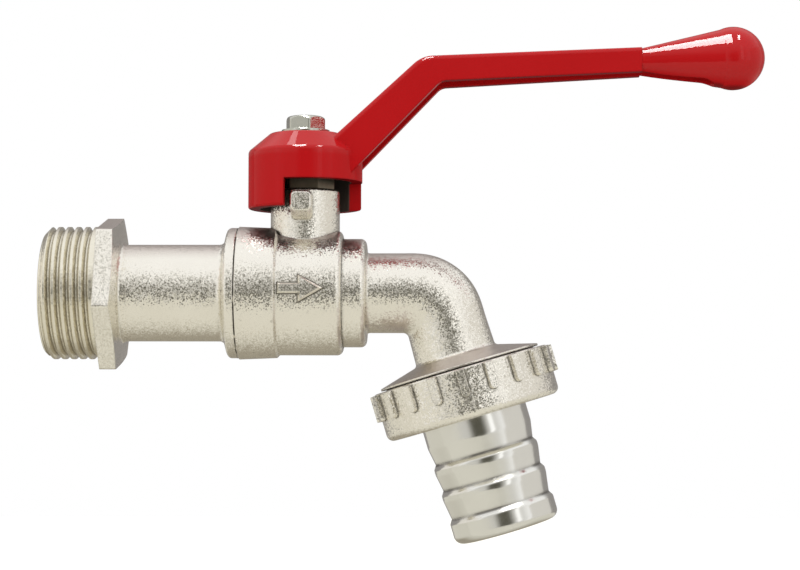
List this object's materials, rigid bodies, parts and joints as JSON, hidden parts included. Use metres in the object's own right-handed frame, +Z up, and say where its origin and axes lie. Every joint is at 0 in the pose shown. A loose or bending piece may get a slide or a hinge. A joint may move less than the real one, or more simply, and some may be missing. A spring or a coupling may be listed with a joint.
{
  "type": "hose tap",
  "caption": "Angled hose tap: threaded inlet with hexagon, ball valve with quarter-turn lever, elbow outlet, ribbed union nut and barbed hose tail.",
  "frame": {"origin": "on the inlet axis, on the face of the hexagon that the inlet thread screws up to", "axes": "+X with the flow, away from the wall; +Z up along the stem; -Y is the front with the stop lug"},
  "size_m": [0.1431, 0.0374, 0.1029],
  "materials": {
    "satin_nickel": "blasted and nickel plated, satin",
    "polished_nickel": "turned and nickel plated, polished",
    "plated_ball": "chrome plated, mirror",
    "plain_brass": "turned",
    "white_seal": "matte white sealing plastic",
    "red_paint": "die cast, gloss red paint",
    "zinc_steel": "zinc plated",
    "black_rubber": "matte"
  },
  "bodies": {
    "tap_body": {"valve_body": "satin_nickel", "inlet_connector": "satin_nickel", "inlet_seat": "white_seal", "outlet_seat": "white_seal", "stem_thrust_washer": "white_seal", "lower_packing_ring": "white_seal", "upper_packing_ring": "white_seal", "gland_nut": "plain_brass"},
    "lever": {"lever_handle": "red_paint", "handle_washer": "zinc_steel", "handle_bolt": "zinc_steel", "stem": "plain_brass", "ball": "plated_ball"},
    "gasket": {"hose_gasket": "black_rubber"},
    "tail": {"hose_tail": "polished_nickel"},
    "nut": {"union_nut": "satin_nickel"}
  },
  "joints": [
    {"name": "lever_turn", "type": "hinge", "parent": "tap_body", "child": "lever", "pos_m": [0.04025, 0, 0], "axis": [0, 0, -1], "range_deg": [0, 90]},
    {"name": "union_slide", "type": "slide", "parent": "tap_body", "child": "gasket", "axis": [0.2857, 0, -0.9583], "range_m": [0, 0.0052]},
    {"name": "tail_swivel", "type": "hinge", "parent": "gasket", "child": "tail", "pos_m": [0.07517, 0, -0.02875], "axis": [0.2857, 0, -0.9583], "continuous": true},
    {"name": "nut_spin", "type": "hinge", "parent": "gasket", "child": "nut", "pos_m": [0.07231, 0, -0.01917], "axis": [0.2857, 0, -0.9583], "range_deg": [0, 800]}
  ],
  "couplings": [
    {"joint": "union_slide", "follows": "nut_spin", "m_per_rad": 0.00036749}
  ]
}
